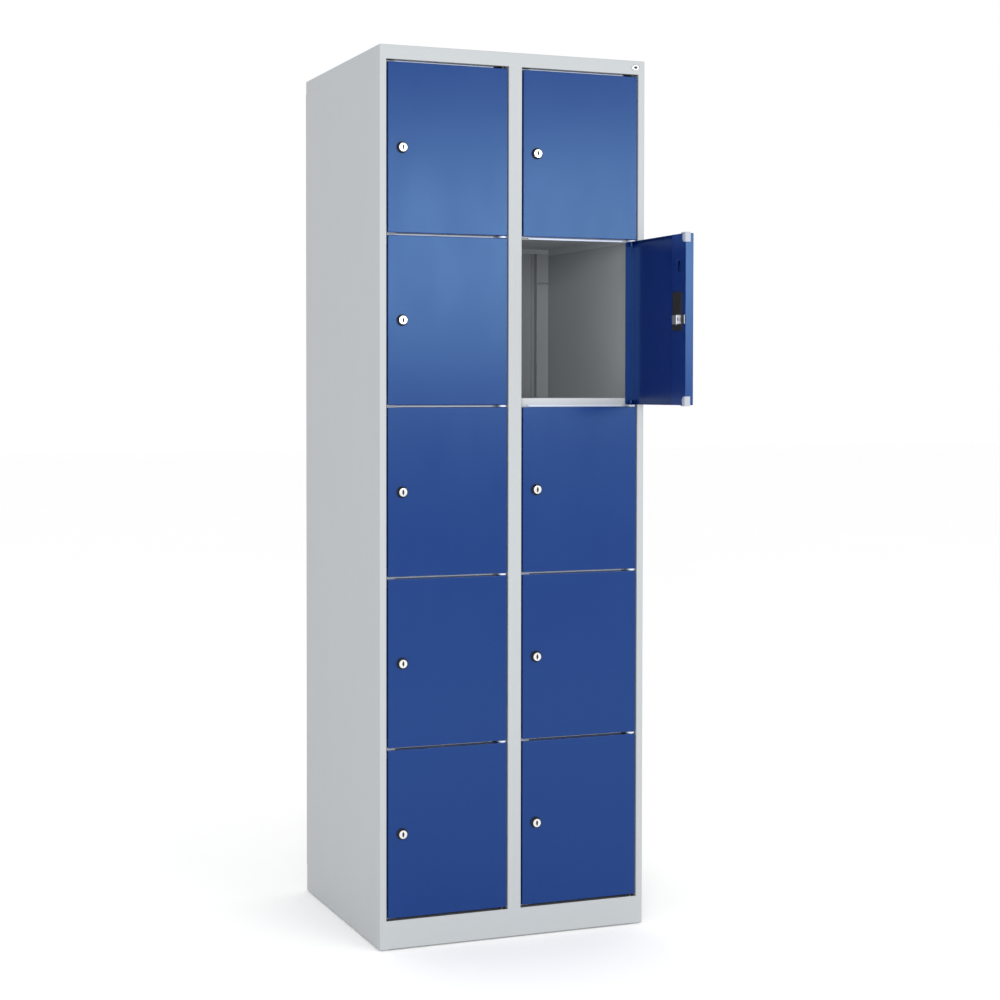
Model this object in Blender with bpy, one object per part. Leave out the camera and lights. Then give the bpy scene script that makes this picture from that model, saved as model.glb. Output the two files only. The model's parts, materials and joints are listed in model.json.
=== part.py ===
"""Compartment locker: a folded steel carcass with two columns of five boxes, each behind its own hinged
door with a key cylinder that throws a sliding bolt. The second door of the right column stands open.

Lengths are in metres. Carcass coordinates run from its front left lower corner: X to the right, Y to the
back and Z up. Door coordinates run from the door's hinge axis at mid height, and lock coordinates from the
key cylinder's axis, with the same Y as the door.
"""

import math

import bmesh
import bpy
from mathutils import Matrix, Vector

MM = 0.001

# Carcass
BODY_W, BODY_D, BODY_H = 600 * MM, 500 * MM, 1850 * MM
COLUMN_PITCH = BODY_W / 2
SIDES = ("left", "right")
ROWS = 5
SHEET = 0.8 * MM
GAP = 0.3 * MM
FOLD_R = 1.6 * MM
FOLD_STEPS = 3
POST_W, POST_D = 15 * MM, 28 * MM
REAR_POST_W, REAR_POST_D = 32 * MM, 15 * MM
TUCK = 1.8 * MM
RAIL_H = 29 * MM
RETURN_D = 22 * MM
REAR_FACE_Y = BODY_D - SHEET - GAP
PLINTH_TOP = 61 * MM
PLINTH_FLANGE = 40 * MM
PLINTH_DROP = 6 * MM
SLIT_Z, SLIT_H = 111 * MM, 1.6 * MM
FIELD_BORDER, FIELD_SLOPE, FIELD_DEPTH = 38 * MM, 4 * MM, 3 * MM
BADGE_X, BADGE_Z = 578 * MM, 1835.5 * MM
BADGE_HALF_W, BADGE_HALF_H = 10 * MM, 6.5 * MM

# Feet
FOOT_H = 3 * MM
FOOT_INSET = 13.5 * MM
FOOT_PAD_R, FOOT_STEM_R = 12 * MM, 4 * MM
FOOT_STEM_TOP = 18 * MM

# Doors
DOOR_W, DOOR_H, DOOR_T = 264 * MM, 346 * MM, 18 * MM
DOOR_GAP = 5 * MM
ROW_PITCH = DOOR_H + DOOR_GAP
TOP_ROW_Z = BODY_H - RAIL_H - DOOR_GAP - DOOR_H / 2
HINGE_INSET = 8 * MM
AXIS_Y = 7.5 * MM
AXIS_X = COLUMN_PITCH - POST_W - 3 * MM - HINGE_INSET
FRONT_Y, INNER_Y = -AXIS_Y, DOOR_T - AXIS_Y
FREE_X = HINGE_INSET - DOOR_W
DOOR_FOLD_R = 1.5 * MM
CHANNEL_W = 58 * MM
FINGER_SLOT_X, FINGER_SLOT_Z = FREE_X + 28 * MM, 107.5 * MM
FINGER_SLOT_HALF_W, FINGER_SLOT_HALF_H = 4.5 * MM, 11.5 * MM
CAP_NOTCH = (13 * MM, 11 * MM, 19 * MM)
OPEN_DOOR = ("right", 2)
OPEN_ANGLE = math.radians(90)

# Hinge pins
PIN_R = 2.5 * MM
PIN_HOLE_R = 3.3 * MM
PIN_REACH = 8 * MM
EAR_R = 8 * MM

# Shelves
FLOOR_RISE = 14 * MM
FRONT_FOLD_Y = 21.2 * MM
FOLD_H = 18.5 * MM
REAR_FOLD_H = 11.5 * MM
SIDE_FOLD_H = 15 * MM
LIP_T = 4 * MM
LIP_X = (36.5 * MM, 257 * MM)
LIP_Y = DOOR_T + 0.4 * MM
EAR_T = 3 * MM
SHELF_END_Y = REAR_FACE_Y - REAR_POST_D - SHEET - GAP

# Locks
LOCK_X = FREE_X + 30.5 * MM
THROW = 8 * MM
BOLT_Y = (11.6 * MM, 14.2 * MM)
TONGUE_Y = (BOLT_Y[0], 13 * MM)
BOLT_H = 18 * MM
BOLT_NOSE, BOLT_SHOULDER, BOLT_HEEL = -30 * MM, -16.3 * MM, 19.3 * MM
BOLT_CLEAR = 1 * MM
HOOD_X, HOOD_T, HOOD_TOP = (-9.5 * MM, 5.5 * MM), 1.4 * MM, 20.4 * MM
CAM_Y = (14.5 * MM, 15.6 * MM)
CAM_HALF_W = 3.6 * MM
CRANK_PIN_R = 1.2 * MM
CRANK_LEAD = 1.7 * MM
PIN_CLEAR = 0.4 * MM
TAIL_R = 3 * MM
BARREL_R = 9.2 * MM
BARREL_HOLE_R = 9.7 * MM
PLUG_R, PLUG_HEAD_R = 7 * MM, 8.7 * MM
HEAD_SEAT = 3.6 * MM
ROSETTE_R, ROSETTE_H, ROSETTE_RIM = 11.8 * MM, 7.2 * MM, 1.8 * MM
KEYWAY_HALF_W, KEYWAY_HALF_H, KEYWAY_DEPTH = 1.6 * MM, 5 * MM, 3 * MM
CASE_X, CASE_Z = (-16.3 * MM, 20.5 * MM), (-22 * MM, 56 * MM)
CASE_PLATE_Y = (10.7 * MM, 11.4 * MM)
CASE_TOP_Y = 13.8 * MM

# Facets of a full turn
COARSE, MEDIUM, FINE = 8, 12, 24
SLOT_STEPS = 4


def material(name, color, roughness, metallic=0.0):
    """A plain Principled material."""
    made = bpy.data.materials.new(name)
    made.use_nodes = True
    shader = made.node_tree.nodes["Principled BSDF"]
    shader.inputs["Base Color"].default_value = (*color, 1)
    shader.inputs["Roughness"].default_value = roughness
    shader.inputs["Metallic"].default_value = metallic
    return made


def finished(bm, name="piece"):
    """The bmesh as an object of its own, with its faces turned outwards."""
    bmesh.ops.recalc_face_normals(bm, faces=bm.faces)
    mesh = bpy.data.meshes.new(name)
    bm.to_mesh(mesh)
    bm.free()
    made = bpy.data.objects.new(name, mesh)
    bpy.context.scene.collection.objects.link(made)
    return made


def box(x, y, z):
    """A block between the given pairs of limits."""
    bm = bmesh.new()
    size = Vector((x[1] - x[0], y[1] - y[0], z[1] - z[0]))
    centre = Vector((x[1] + x[0], y[1] + y[0], z[1] + z[0])) / 2
    bmesh.ops.create_cube(bm, size=1, matrix=Matrix.Translation(centre) @ Matrix.Diagonal((*size, 1)))
    return finished(bm)


def rounded_box(x, y, z, radius, edges, steps=2):
    """A block whose chosen edges are rounded. An edge is chosen by a test on its two ends."""
    made = box(x, y, z)
    bm = bmesh.new()
    bm.from_mesh(made.data)
    chosen = [edge for edge in bm.edges if edges(*(corner.co for corner in edge.verts))]
    bmesh.ops.bevel(bm, geom=chosen, offset=radius, segments=steps, profile=0.5, affect="EDGES")
    bm.to_mesh(made.data)
    bm.free()
    return made


def upright(low, high):
    """True for an edge that runs along Z."""
    return abs(low.z - high.z) > 1 * MM


def prism(outline, along, low, high):
    """An outline drawn across an axis and extruded along it. Across X it reads (Y, Z), across Y (X, Z)."""
    order = {"X": (2, 0, 1), "Y": (0, 2, 1), "Z": (0, 1, 2)}[along]
    bm = bmesh.new()
    corners = []
    for first, second in outline:
        point = (first, second, low)
        corners.append(bm.verts.new([point[i] for i in order]))
    face = bm.faces.new(corners)
    swept = bmesh.ops.extrude_face_region(bm, geom=[face])["geom"]
    shift = Vector([(0, 0, high - low)[i] for i in order])
    bmesh.ops.translate(bm, verts=[v for v in swept if isinstance(v, bmesh.types.BMVert)], vec=shift)
    return finished(bm)


def turned(profile, facets):
    """A profile of (radius, y) points turned about the Y axis. It is closed, or ends on the axis."""
    bm = bmesh.new()
    points = [bm.verts.new((radius, y, 0)) for radius, y in profile]
    edges = [bm.edges.new(pair) for pair in zip(points, points[1:])]
    if profile[0][0] and profile[-1][0]:
        edges.append(bm.edges.new((points[-1], points[0])))
    turn = {"cent": (0, 0, 0), "axis": (0, 1, 0), "angle": 2 * math.pi}
    bmesh.ops.spin(bm, geom=points + edges, steps=facets, use_merge=True, **turn)
    bmesh.ops.remove_doubles(bm, verts=bm.verts, dist=1e-6)
    return finished(bm)


def rod(centre, radius, low, high, facets=COARSE, along="Z"):
    """A round bar along an axis."""
    ring = [
        (
            centre[0] + radius * math.cos(2 * math.pi * i / facets),
            centre[1] + radius * math.sin(2 * math.pi * i / facets),
        )
        for i in range(facets)
    ]
    return prism(ring, along, low, high)


def stadium(centre, half_width, half_height, steps):
    """Outline of a slot with round ends, longer along its second axis."""
    straight = half_height - half_width
    points = []
    for end in (1, -1):
        for i in range(steps + 1):
            angle = math.pi * i / steps + (0 if end == 1 else math.pi)
            points.append(
                (
                    centre[0] + half_width * math.cos(angle),
                    centre[1] + end * straight + half_width * math.sin(angle),
                )
            )
    return points


def fold(path, radius=FOLD_R):
    """Outline of a sheet folded along its centre line, with a round bend at each corner of the path."""
    points = [Vector(point) for point in path]
    left, right = [], []

    def add(point, along):
        side = Vector((-along.y, along.x)) * (SHEET / 2)
        left.append(point + side)
        right.append(point - side)

    add(points[0], (points[1] - points[0]).normalized())
    for before, corner, after in zip(points, points[1:], points[2:]):
        into, out = (corner - before).normalized(), (after - corner).normalized()
        turn = math.atan2(into.cross(out), into.dot(out))
        start = corner - into * radius * math.tan(abs(turn) / 2)
        inward = math.copysign(radius, turn)
        centre = start + Vector((-into.y, into.x)) * inward
        for i in range(FOLD_STEPS + 1):
            along = Matrix.Rotation(turn * i / FOLD_STEPS, 2) @ into
            add(centre - Vector((-along.y, along.x)) * inward, along)
    add(points[-1], (points[-1] - points[-2]).normalized())
    return left + right[::-1]


def boolean(body, tools, operation):
    """Joins the tools to the body, or cuts them from it, and throws them away."""
    for tool in tools:
        modifier = body.modifiers.new(operation.lower(), "BOOLEAN")
        modifier.operation = operation
        modifier.object = tool
    bpy.context.view_layer.update()
    result = body.evaluated_get(bpy.context.evaluated_depsgraph_get())
    mesh = bpy.data.meshes.new_from_object(result)
    body.modifiers.clear()
    body.data = mesh
    for tool in tools:
        bpy.data.objects.remove(tool)
    return body


def join(body, *tools):
    """The body and the tools as one solid."""
    return boolean(body, tools, "UNION")


def cut(body, *tools):
    """The body without the tools."""
    return boolean(body, tools, "DIFFERENCE")


def mirrored(piece):
    """The same piece seen in a mirror across the carcass's middle plane."""
    piece.data.transform(Matrix.Translation((BODY_W, 0, 0)) @ Matrix.Scale(-1, 4, (1, 0, 0)))
    piece.data.flip_normals()
    return piece


def named(piece, name, finish, parent, place=(0, 0, 0)):
    """Names a piece, dresses it, and puts it in its place under its parent."""
    piece.name = name
    piece.data.materials.clear()
    piece.data.materials.append(finish)
    piece.data.shade_smooth()
    piece.data.set_sharp_from_angle(angle=math.radians(30))
    piece.parent = parent
    piece.location = place
    return piece


def copied(piece):
    """Another object with the same mesh."""
    made = bpy.data.objects.new(piece.name, piece.data)
    bpy.context.scene.collection.objects.link(made)
    return made


def door_z(row):
    """Mid height of the doors in a row, counted from 1 at the top."""
    return TOP_ROW_Z - (row - 1) * ROW_PITCH


def bolt_slot(x, row):
    """Cutter for the slot that a door's bolt enters in the post beside it."""
    half_h = BOLT_H / 2 + BOLT_CLEAR
    return box(
        (x - 3 * SHEET, x + 3 * SHEET),
        (AXIS_Y + TONGUE_Y[0] - BOLT_CLEAR, AXIS_Y + TONGUE_Y[1] + BOLT_CLEAR),
        (door_z(row) - half_h, door_z(row) + half_h),
    )


def make_side_wall():
    """Left wall: a sheet folded into a box post at the front and a flanged channel at the back."""
    half = SHEET / 2
    front = [(TUCK, POST_D - half), (POST_W - half, POST_D - half), (POST_W - half, half), (half, half)]
    back_y, inner = REAR_FACE_Y - half, REAR_POST_W - half
    face_y = back_y - REAR_POST_D
    back = [(half, back_y), (inner, back_y), (inner, face_y), (TUCK, face_y)]
    wall = prism(fold(front + back), "Z", PLINTH_TOP + GAP, BODY_H - RAIL_H - GAP)
    slits = []
    for row in range(1, ROWS + 1):
        slit_z = door_z(row) + SLIT_Z
        slit = box(
            (TUCK + SHEET, REAR_POST_W - 1.5 * SHEET),
            (face_y - 3 * SHEET, face_y + 3 * SHEET),
            (slit_z - SLIT_H / 2, slit_z + SLIT_H / 2),
        )
        slits.append(slit)
    return cut(wall, *slits)


def make_left_wall():
    """The left wall also takes the bolts of the left column."""
    return cut(make_side_wall(), *(bolt_slot(POST_W - SHEET / 2, row) for row in range(1, ROWS + 1)))


def make_partition():
    """Middle wall: two box posts meeting at the front, a web between the columns and a weld flange."""
    half = SHEET / 2
    top, bottom = BODY_H - SHEET - GAP, floor_z(ROWS) + GAP
    low, high = PLINTH_TOP + GAP, BODY_H - RAIL_H - GAP
    middle, edge = COLUMN_PITCH, POST_W - half
    post = [
        (middle - TUCK, POST_D - half),
        (middle - edge, POST_D - half),
        (middle - edge, half),
        (middle + edge, half),
        (middle + edge, POST_D - half),
        (middle + TUCK, POST_D - half),
    ]
    back_y = REAR_FACE_Y - half
    web = [(middle, half), (middle, back_y), (middle + POST_W, back_y)]
    wall = join(prism(fold(post), "Z", low, high), prism(fold(web), "Z", bottom, top))
    seam = box((middle - GAP, middle + GAP), (-SHEET, SHEET / 2), (low - SHEET, high + SHEET))
    above = box((middle - POST_W, middle + POST_W), (-SHEET, RETURN_D + 2 * GAP), (high, top + SHEET))
    slots = (bolt_slot(middle + edge, row) for row in range(1, ROWS + 1))
    return cut(wall, seam, above, *slots)


def make_top_panel():
    """Lid: a shallow tray turned over, with the front rail, the return behind it and a stop per column."""
    base = BODY_H - RAIL_H
    width, depth = (0, BODY_W), (0, BODY_D)

    def upright_or_top(low, high):
        return upright(low, high) or min(low.z, high.z) > BODY_H - 1 * MM

    lid = rounded_box(width, depth, (base, BODY_H), FOLD_R + SHEET / 2, upright_or_top, FOLD_STEPS)
    hollow = rounded_box(
        (SHEET, BODY_W - SHEET), (SHEET, BODY_D - SHEET), (base - SHEET, BODY_H - SHEET), FOLD_R, upright
    )
    lid = cut(lid, hollow)
    return_plate = box((SHEET / 2, BODY_W - SHEET / 2), (SHEET / 2, RETURN_D), (base, base + SHEET))
    additions = [return_plate]
    stop_z = base - DOOR_GAP + SHEET
    for column in range(len(SIDES)):
        left = column * COLUMN_PITCH
        stop_x = [left + x for x in LIP_X]
        additions.append(box(stop_x, (LIP_Y, LIP_Y + SHEET), (stop_z, base + SHEET / 2)))
        pin_end = base - DOOR_GAP - PIN_REACH
        additions.append(rod((left + AXIS_X, AXIS_Y), PIN_R, pin_end, base + SHEET / 2))
    return join(lid, *additions)


def make_plinth():
    """Base ring. Its walls stand a little above its upper flange, which carries the lowest hinge pins, and
    its lower flange carries the feet."""
    width, depth = (0, BODY_W), (0, BODY_D)
    inside = (SHEET, BODY_W - SHEET), (SHEET, BODY_D - SHEET)
    well_x, well_y = (PLINTH_FLANGE, BODY_W - PLINTH_FLANGE), (PLINTH_FLANGE, BODY_D - PLINTH_FLANGE)
    flange_z = PLINTH_TOP - PLINTH_DROP
    ring = rounded_box(width, depth, (FOOT_H, PLINTH_TOP), FOLD_R + SHEET / 2, upright, FOLD_STEPS)
    hollow = rounded_box(*inside, (FOOT_H + SHEET, flange_z - SHEET), FOLD_R, upright)
    rebate = rounded_box(*inside, (flange_z, PLINTH_TOP + SHEET), FOLD_R, upright)
    holes = [rod(place, FOOT_STEM_R + GAP, 0, PLINTH_TOP / 2) for place in foot_places().values()]
    ring = cut(ring, hollow, rebate, box(well_x, well_y, (0, BODY_H)), *holes)
    pin_top = PLINTH_TOP + DOOR_GAP + PIN_REACH
    pins = [
        rod((column * COLUMN_PITCH + AXIS_X, AXIS_Y), PIN_R, flange_z - SHEET / 2, pin_top)
        for column in range(len(SIDES))
    ]
    return join(ring, *pins)


def foot_places():
    """Centre of each levelling foot, by name."""
    return {
        f"foot_{depth}_{side}": (x, y)
        for side, x in zip(SIDES, (FOOT_INSET, BODY_W - FOOT_INSET))
        for depth, y in (("front", FOOT_INSET), ("rear", BODY_D - FOOT_INSET))
    }


def make_foot():
    """Levelling glide: a flat round pad on a threaded stem."""
    pad_h = FOOT_H - GAP
    pad = rod((0, 0), FOOT_PAD_R, 0, pad_h, MEDIUM)
    return join(pad, rod((0, 0), FOOT_STEM_R, pad_h / 2, FOOT_STEM_TOP))


def make_rear_panel():
    """Back sheet with a field pressed inwards behind each column."""
    outer = BODY_D - SHEET / 2
    inner = outer - FIELD_DEPTH
    path = [(0, outer)]
    for column in range(len(SIDES)):
        left = column * COLUMN_PITCH + FIELD_BORDER
        right = (column + 1) * COLUMN_PITCH - FIELD_BORDER
        path += [(left, outer), (left + FIELD_SLOPE, inner), (right - FIELD_SLOPE, inner), (right, outer)]
    path.append((BODY_W, outer))
    return prism(fold(path), "Z", PLINTH_TOP + GAP, BODY_H - RAIL_H - GAP)


def floor_z(row):
    """Upper face of the floor of the boxes in a row."""
    return door_z(row) - DOOR_H / 2 + FLOOR_RISE


def floor_tray(row, x, front_z):
    """Folded tray that is the floor of a row of boxes: a front fold down to front_z, and a rear fold."""
    front_y, rear_y = FRONT_FOLD_Y + SHEET / 2, SHELF_END_Y - SHEET / 2
    top = floor_z(row) - SHEET / 2
    path = [(front_y, front_z), (front_y, top), (rear_y, top), (rear_y, floor_z(row) - REAR_FOLD_H)]
    return prism(fold(path), "X", *x)


def make_floor():
    """Floor of the lowest boxes, over the plinth, notched round the posts."""
    y, z, past = (0, POST_D + GAP), (0, BODY_H), POST_W + GAP
    tray = floor_tray(ROWS, (SHEET + GAP, BODY_W - SHEET - GAP), PLINTH_TOP + GAP)
    return cut(
        tray,
        box((-POST_W, past), y, z),
        box((BODY_W - past, BODY_W + POST_W), y, z),
        box((COLUMN_PITCH - past, COLUMN_PITCH + past), y, z),
    )


def make_shelf(column):
    """Floor between two boxes, in column coordinates and for row 1. A lip behind the doors closes the gap
    between them, and an ear in that gap carries the hinge pins of the door above and the door below."""
    floor = floor_z(1)
    end_x = COLUMN_PITCH - SHEET / 2 - GAP
    wall_x = SHEET + GAP
    wide = (wall_x, end_x) if column == 0 else (COLUMN_PITCH - end_x, COLUMN_PITCH - wall_x)
    lip_z = (floor - FOLD_H, floor - FOLD_H + LIP_T)
    tray = floor_tray(1, wide, lip_z[0])
    side_z = (floor - SIDE_FOLD_H, floor - SHEET / 2)
    side_y = (POST_D + GAP, SHELF_END_Y - SHEET / 2)
    tray = join(
        tray,
        box((wide[0], wide[0] + SHEET), side_y, side_z),
        box((wide[1] - SHEET, wide[1]), side_y, side_z),
        box(LIP_X, (LIP_Y, FRONT_FOLD_Y + SHEET / 2), lip_z),
        make_ear(floor - FLOOR_RISE - DOOR_GAP / 2),
    )
    y, z = (0, side_y[0]), (0, BODY_H)
    return cut(
        tray,
        box((-POST_W, POST_W + GAP), y, z),
        box((COLUMN_PITCH - POST_W - GAP, COLUMN_PITCH + POST_W), y, z),
    )


def make_ear(middle_z):
    """Hinge ear: a tongue with a round nose, with one pin up and one pin down."""
    low, high = middle_z - EAR_T / 2, middle_z + EAR_T / 2
    nose = [
        (AXIS_X + EAR_R * math.cos(angle), EAR_R + GAP + EAR_R * math.sin(angle))
        for angle in (math.pi * (1 + i / MEDIUM * 2) for i in range(MEDIUM // 2 + 1))
    ]
    back = FRONT_FOLD_Y + SHEET / 2
    tongue = prism([*nose, (AXIS_X + EAR_R, back), (AXIS_X - EAR_R, back)], "Z", low, high)
    clear = (DOOR_GAP - EAR_T) / 2 + PIN_REACH
    return join(tongue, rod((AXIS_X, AXIS_Y), PIN_R, low - clear, high + clear))


def make_door():
    """Door pan in door coordinates: a skin with four flanges, a box channel down the lock side, holes for
    the hinge pins, the lock and a finger slot, and notches for the two corner caps."""
    x, y, z = (FREE_X, HINGE_INSET), (FRONT_Y, INNER_Y), (-DOOR_H / 2, DOOR_H / 2)

    def of_front(low, high):
        return min(low.y, high.y) < FRONT_Y + 1 * MM

    pan = rounded_box(x, y, z, DOOR_FOLD_R, of_front, 2)
    hollow = [(low + SHEET, high - SHEET) for low, high in (x, y, z)]
    pan = cut(pan, box(hollow[0], (hollow[1][0], INNER_Y + SHEET), hollow[2]))
    web_x = FREE_X + CHANNEL_W
    half = SHEET / 2
    channel = [(FREE_X + half, INNER_Y - half), (web_x, INNER_Y - half), (web_x, FRONT_Y + half)]
    pan = join(pan, prism(fold(channel), "Z", z[0] + half, z[1] - half))
    slot = stadium((FINGER_SLOT_X, FINGER_SLOT_Z), FINGER_SLOT_HALF_W, FINGER_SLOT_HALF_H, SLOT_STEPS)
    notches = [
        box(
            (FREE_X - SHEET, FREE_X + CAP_NOTCH[0]),
            (INNER_Y - CAP_NOTCH[1], INNER_Y + SHEET),
            sorted((end * (DOOR_H / 2 + SHEET), end * (DOOR_H / 2 - CAP_NOTCH[2]))),
        )
        for end in (1, -1)
    ]
    return cut(
        pan,
        rod((0, 0), PIN_HOLE_R, -DOOR_H, DOOR_H),
        rod((LOCK_X, 0), BARREL_HOLE_R, FRONT_Y - SHEET, INNER_Y + SHEET, MEDIUM, "Y"),
        prism(slot, "Y", INNER_Y - 3 * SHEET, INNER_Y + SHEET),
        *notches,
    )


def make_lock_body():
    """Black rosette and barrel through the door, and the case on its inner face that guides the bolt."""
    face_y, base_y = FRONT_Y - ROSETTE_H, FRONT_Y - GAP
    plate_y = CASE_PLATE_Y[1]
    bore, recess = PLUG_R + GAP, PLUG_HEAD_R + GAP
    seat_y = face_y + HEAD_SEAT
    barrel = turned(
        [
            (recess, face_y),
            (recess + 0.5 * MM, face_y),
            (ROSETTE_R, base_y - ROSETTE_RIM),
            (ROSETTE_R, base_y),
            (BARREL_R, base_y),
            (BARREL_R, plate_y),
            (bore, plate_y),
            (bore, seat_y),
            (recess, seat_y),
        ],
        MEDIUM,
    )
    plate = box(CASE_X, CASE_PLATE_Y, CASE_Z)
    plate = cut(plate, rod((0, 0), bore + GAP, 0, plate_y + SHEET, MEDIUM, "Y"))
    rail = BOLT_H / 2 + GAP
    raised_y = (plate_y - GAP, CASE_TOP_Y)
    upper, lower = box(CASE_X, raised_y, (rail, CASE_Z[1])), box(CASE_X, raised_y, (CASE_Z[0], -rail))
    return join(barrel, plate, upper, lower)


def make_plug():
    """Key cylinder's plug: head with the keyway, shaft, and a cam hanging down with its crank pin."""
    head_y, into_cam = FRONT_Y - ROSETTE_H - PIN_CLEAR, CAM_Y[0] + GAP
    seat_y = FRONT_Y - HEAD_SEAT - GAP
    tail_y = CASE_PLATE_Y[1] - GAP
    plug = turned(
        [
            (0, head_y),
            (PLUG_HEAD_R, head_y),
            (PLUG_HEAD_R, seat_y),
            (PLUG_R, seat_y),
            (PLUG_R, tail_y),
            (TAIL_R, tail_y),
            (TAIL_R, into_cam),
            (0, into_cam),
        ],
        COARSE,
    )
    cam = prism(stadium((0, -THROW / 2), CAM_HALF_W, THROW / 2 + CAM_HALF_W, SLOT_STEPS), "Y", *CAM_Y)
    pin = rod((0, -THROW), CRANK_PIN_R, BOLT_Y[0] + GAP, into_cam, COARSE, "Y")
    keyway = [(0, KEYWAY_HALF_H), (KEYWAY_HALF_W, 0), (0, -KEYWAY_HALF_H), (-KEYWAY_HALF_W, 0)]
    return cut(join(plug, cam, pin), prism(keyway, "Y", head_y - SHEET, head_y + KEYWAY_DEPTH))


def make_bolt():
    """Sliding bolt, drawn back: a thick block over the case, a thin tongue that enters the post, and an
    angled hood over the cam. The plug's tail passes through the block's long slot, and the crank pin works
    in the notch below, wide enough for the pin to run ahead of the bolt in mid turn."""
    z = (-BOLT_H / 2, BOLT_H / 2)
    block = box((BOLT_SHOULDER, BOLT_HEEL), BOLT_Y, z)
    tongue = box((BOLT_NOSE, BOLT_SHOULDER + SHEET), TONGUE_Y, z)
    wall = box((HOOD_X[0], HOOD_X[0] + HOOD_T), (BOLT_Y[1] - SHEET, HOOD_TOP), z)
    cover = box(HOOD_X, (HOOD_TOP - HOOD_T, HOOD_TOP), z)
    through = (BOLT_Y[0] - SHEET, BOLT_Y[1] + SHEET)
    slot, notch = TAIL_R + PIN_CLEAR, CRANK_PIN_R + PIN_CLEAR
    return cut(
        join(block, tongue, wall, cover),
        box((-slot, THROW + slot), through, (-slot, slot)),
        box((-notch - CRANK_LEAD, notch), through, (-BOLT_H, 0)),
    )


def make_badge():
    """Plain oval plate, with nothing on it, for the right end of the front rail."""
    turns = [2 * math.pi * i / FINE for i in range(FINE)]
    ring = [(BADGE_HALF_W * math.cos(turn), BADGE_HALF_H * math.sin(turn)) for turn in turns]
    return prism(ring, "Y", -GAP - SHEET, -GAP)


def build_carcass(origin, grey, dark, metal):
    """Everything that stands still."""
    named(make_left_wall(), "left_side_wall", grey, origin)
    named(mirrored(make_side_wall()), "right_side_wall", grey, origin)
    named(make_partition(), "centre_partition", grey, origin)
    named(make_top_panel(), "top_panel", grey, origin)
    named(make_rear_panel(), "rear_panel", grey, origin)
    named(make_floor(), "floor_panel", grey, origin)
    named(make_plinth(), "plinth", grey, origin)
    foot = make_foot()
    for index, (name, place) in enumerate(foot_places().items()):
        named(copied(foot) if index else foot, name, dark, origin, (*place, 0))
    for column, side in enumerate(SIDES):
        shelf = make_shelf(column)
        for row in range(1, ROWS):
            place = (column * COLUMN_PITCH, 0, floor_z(row) - floor_z(1))
            named(copied(shelf) if row > 1 else shelf, f"shelf_{side}_{row}", grey, origin, place)
    named(make_badge(), "badge_plate", metal, origin, (BADGE_X, 0, BADGE_Z))


def build_doors(origin, blue, dark, metal):
    """Ten doors, each carrying its lock body, plug and bolt."""
    patterns = {
        "door": (make_door(), blue),
        "lock_body": (make_lock_body(), dark),
        "lock_plug": (make_plug(), metal),
        "lock_bolt": (make_bolt(), metal),
    }
    for column, side in enumerate(SIDES):
        for row in range(1, ROWS + 1):
            made = {
                kind: named(copied(pattern), f"{kind}_{side}_{row}", finish, None, (LOCK_X, 0, 0))
                for kind, (pattern, finish) in patterns.items()
            }
            door = made.pop("door")
            door.parent = origin
            door.location = (column * COLUMN_PITCH + AXIS_X, AXIS_Y, door_z(row))
            if (side, row) == OPEN_DOOR:
                door.rotation_euler.z = OPEN_ANGLE
            for piece in made.values():
                piece.parent = door
    for pattern, _ in patterns.values():
        bpy.data.objects.remove(pattern)


def main():
    """Clears the scene and builds the locker in its rest pose."""
    for thing in list(bpy.data.objects):
        bpy.data.objects.remove(thing)
    grey = material("light_grey_paint", (0.60, 0.63, 0.64), 0.45)
    blue = material("blue_paint", (0.03, 0.09, 0.32), 0.4)
    dark = material("black_plastic", (0.02, 0.02, 0.02), 0.5)
    metal = material("nickel", (0.75, 0.75, 0.74), 0.3, 1.0)
    reach_y = AXIS_Y + FREE_X
    origin = bpy.data.objects.new("locker", None)
    origin.location = (-BODY_W / 2, -(BODY_D + reach_y) / 2, 0)
    bpy.context.scene.collection.objects.link(origin)
    build_carcass(origin, grey, dark, metal)
    build_doors(origin, blue, dark, metal)


main()
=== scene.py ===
"""Finished looks of a steel compartment locker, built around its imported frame.

The carcass is light grey powder coat and the doors are blue. Sheet metal parts keep the frame's shape and get
softened edges. Locks, caps, hinge fittings, door buffers, ground welds, feet and the badge are modelled here.
Lengths are in metres. Door coordinates have their origin on the hinge axis at mid height, with X towards the
hinge edge, Y into the locker and Z up; lock coordinates have theirs on the key cylinder's axis.
"""

from __future__ import annotations

import json
import logging
import math
from collections.abc import Callable, Iterable, Sequence
from dataclasses import dataclass, field
from enum import Enum

import bmesh
import bpy
from mathutils import Matrix, Vector

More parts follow.
